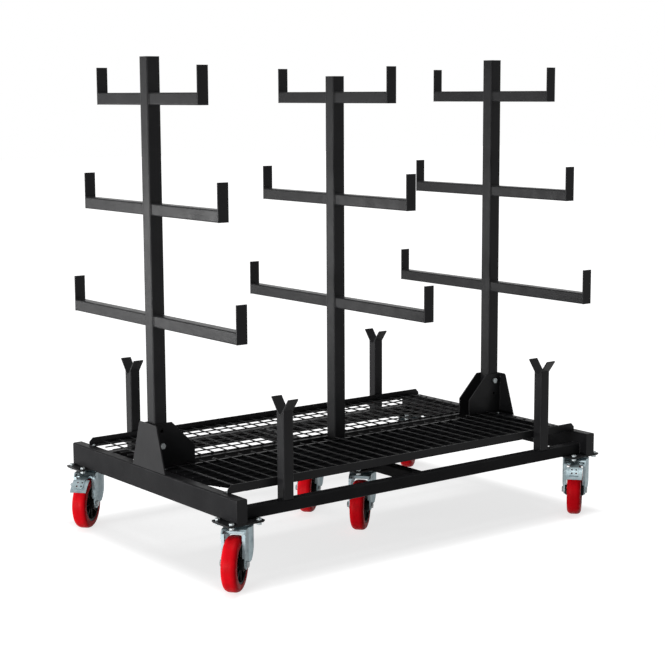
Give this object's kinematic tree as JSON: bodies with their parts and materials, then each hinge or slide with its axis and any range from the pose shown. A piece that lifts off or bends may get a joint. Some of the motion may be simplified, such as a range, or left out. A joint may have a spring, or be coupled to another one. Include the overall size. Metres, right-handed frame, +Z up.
{
  "type": "mobile pipe rack",
  "caption": "Wheeled steel rack for pipes and bars: cradle arms on masts, mesh deck, V saddles on short posts and swivel castors.",
  "frame": {"origin": "on the floor, below the centre of the space the rack takes up with its castors turned as stored", "axes": "+X along the rack from its left end to its right end, +Y across it from front to rear, +Z up"},
  "size_m": [1.7111, 1.1233, 1.673],
  "materials": {
    "black_powder_coat": "satin black powder coat on steel",
    "black_plastic": "matte black plastic",
    "zinc_plate": "bright zinc plating on pressed steel, slightly blue",
    "bright_steel": "bright zinc-plated fasteners",
    "red_tread": "smooth satin red polyurethane",
    "black_hub": "moulded black plastic"
  },
  "bodies": {
    "chassis": {"left_end_beam": "black_powder_coat", "right_end_beam": "black_powder_coat", "beam_end_caps": "black_powder_coat", "front_rail": "black_powder_coat", "rear_rail": "black_powder_coat", "centre_cross_beam": "black_powder_coat", "front_deck_mesh": "black_powder_coat", "rear_deck_mesh": "black_powder_coat", "front_outer_angle": "black_powder_coat", "rear_outer_angle": "black_powder_coat", "front_inner_angle": "black_powder_coat", "rear_inner_angle": "black_powder_coat", "front_deck_sheet": "black_powder_coat", "deck_bolts": "bright_steel", "left_mast_bracket": "black_powder_coat", "right_mast_bracket": "black_powder_coat", "mast_bolts": "bright_steel", "left_mast": "black_powder_coat", "middle_mast": "black_powder_coat", "right_mast": "black_powder_coat", "mast_caps": "black_plastic", "left_mast_arms": "black_powder_coat", "middle_mast_arms": "black_powder_coat", "right_mast_arms": "black_powder_coat", "left_mast_upstands": "black_powder_coat", "middle_mast_upstands": "black_powder_coat", "right_mast_upstands": "black_powder_coat", "saddle_posts": "black_powder_coat", "v_saddles": "black_powder_coat", "castor_mounting_plates": "black_powder_coat", "castor_top_plates": "black_powder_coat", "castor_swivel_races": "zinc_plate", "castor_bolts": "bright_steel", "castor_nuts": "bright_steel"},
    "front_left_swivel": {"front_left_fork": "zinc_plate", "front_left_axle_bolt": "bright_steel"},
    "front_left_wheel": {"front_left_hub": "black_hub", "front_left_tread": "red_tread"},
    "rear_left_swivel": {"rear_left_fork": "zinc_plate", "rear_left_axle_bolt": "bright_steel"},
    "rear_left_wheel": {"rear_left_hub": "black_hub", "rear_left_tread": "red_tread"},
    "rear_left_brake": {"rear_left_brake_pedal": "zinc_plate"},
    "front_middle_swivel": {"front_middle_fork": "zinc_plate", "front_middle_axle_bolt": "bright_steel"},
    "front_middle_wheel": {"front_middle_hub": "black_hub", "front_middle_tread": "red_tread"},
    "rear_middle_swivel": {"rear_middle_fork": "zinc_plate", "rear_middle_axle_bolt": "bright_steel"},
    "rear_middle_wheel": {"rear_middle_hub": "black_hub", "rear_middle_tread": "red_tread"},
    "front_right_swivel": {"front_right_fork": "zinc_plate", "front_right_axle_bolt": "bright_steel"},
    "front_right_wheel": {"front_right_hub": "black_hub", "front_right_tread": "red_tread"},
    "front_right_brake": {"front_right_brake_pedal": "zinc_plate"},
    "rear_right_swivel": {"rear_right_fork": "zinc_plate", "rear_right_axle_bolt": "bright_steel"},
    "rear_right_wheel": {"rear_right_hub": "black_hub", "rear_right_tread": "red_tread"}
  },
  "joints": [
    {"name": "front_left_swivel_turn", "type": "hinge", "parent": "chassis", "child": "front_left_swivel", "pos_m": [-0.73397, -0.45089, 0.211], "axis": [0, 0, 1], "continuous": true},
    {"name": "front_left_wheel_roll", "type": "hinge", "parent": "front_left_swivel", "child": "front_left_wheel", "pos_m": [-0.7717, -0.48369, 0.09], "axis": [-0.6561, 0.7547, 0], "continuous": true},
    {"name": "rear_left_swivel_turn", "type": "hinge", "parent": "chassis", "child": "rear_left_swivel", "pos_m": [-0.73397, 0.50911, 0.211], "axis": [0, 0, 1], "continuous": true},
    {"name": "rear_left_wheel_roll", "type": "hinge", "parent": "rear_left_swivel", "child": "rear_left_wheel", "pos_m": [-0.7717, 0.4763, 0.09], "axis": [-0.6561, 0.7547, 0], "continuous": true},
    {"name": "rear_left_brake_press", "type": "hinge", "parent": "rear_left_swivel", "child": "rear_left_brake", "pos_m": [-0.77623, 0.47237, 0.187], "axis": [0.6561, -0.7547, 0], "range_deg": [0, 4]},
    {"name": "front_middle_swivel_turn", "type": "hinge", "parent": "chassis", "child": "front_middle_swivel", "pos_m": [0.02603, -0.12789, 0.211], "axis": [0, 0, 1], "continuous": true},
    {"name": "front_middle_wheel_roll", "type": "hinge", "parent": "front_middle_swivel", "child": "front_middle_wheel", "pos_m": [-0.01171, -0.1607, 0.09], "axis": [-0.6561, 0.7547, 0], "continuous": true},
    {"name": "rear_middle_swivel_turn", "type": "hinge", "parent": "chassis", "child": "rear_middle_swivel", "pos_m": [0.02603, 0.18611, 0.211], "axis": [0, 0, 1], "continuous": true},
    {"name": "rear_middle_wheel_roll", "type": "hinge", "parent": "rear_middle_swivel", "child": "rear_middle_wheel", "pos_m": [-0.01171, 0.1533, 0.09], "axis": [-0.6561, 0.7547, 0], "continuous": true},
    {"name": "front_right_swivel_turn", "type": "hinge", "parent": "chassis", "child": "front_right_swivel", "pos_m": [0.78603, -0.45089, 0.211], "axis": [0, 0, 1], "continuous": true},
    {"name": "front_right_wheel_roll", "type": "hinge", "parent": "front_right_swivel", "child": "front_right_wheel", "pos_m": [0.7483, -0.48369, 0.09], "axis": [-0.6561, 0.7547, 0], "continuous": true},
    {"name": "front_right_brake_press", "type": "hinge", "parent": "front_right_swivel", "child": "front_right_brake", "pos_m": [0.74377, -0.48763, 0.187], "axis": [0.6561, -0.7547, 0], "range_deg": [0, 4]},
    {"name": "rear_right_swivel_turn", "type": "hinge", "parent": "chassis", "child": "rear_right_swivel", "pos_m": [0.78603, 0.50911, 0.211], "axis": [0, 0, 1], "continuous": true},
    {"name": "rear_right_wheel_roll", "type": "hinge", "parent": "rear_right_swivel", "child": "rear_right_wheel", "pos_m": [0.7483, 0.4763, 0.09], "axis": [-0.6561, 0.7547, 0], "continuous": true}
  ]
}
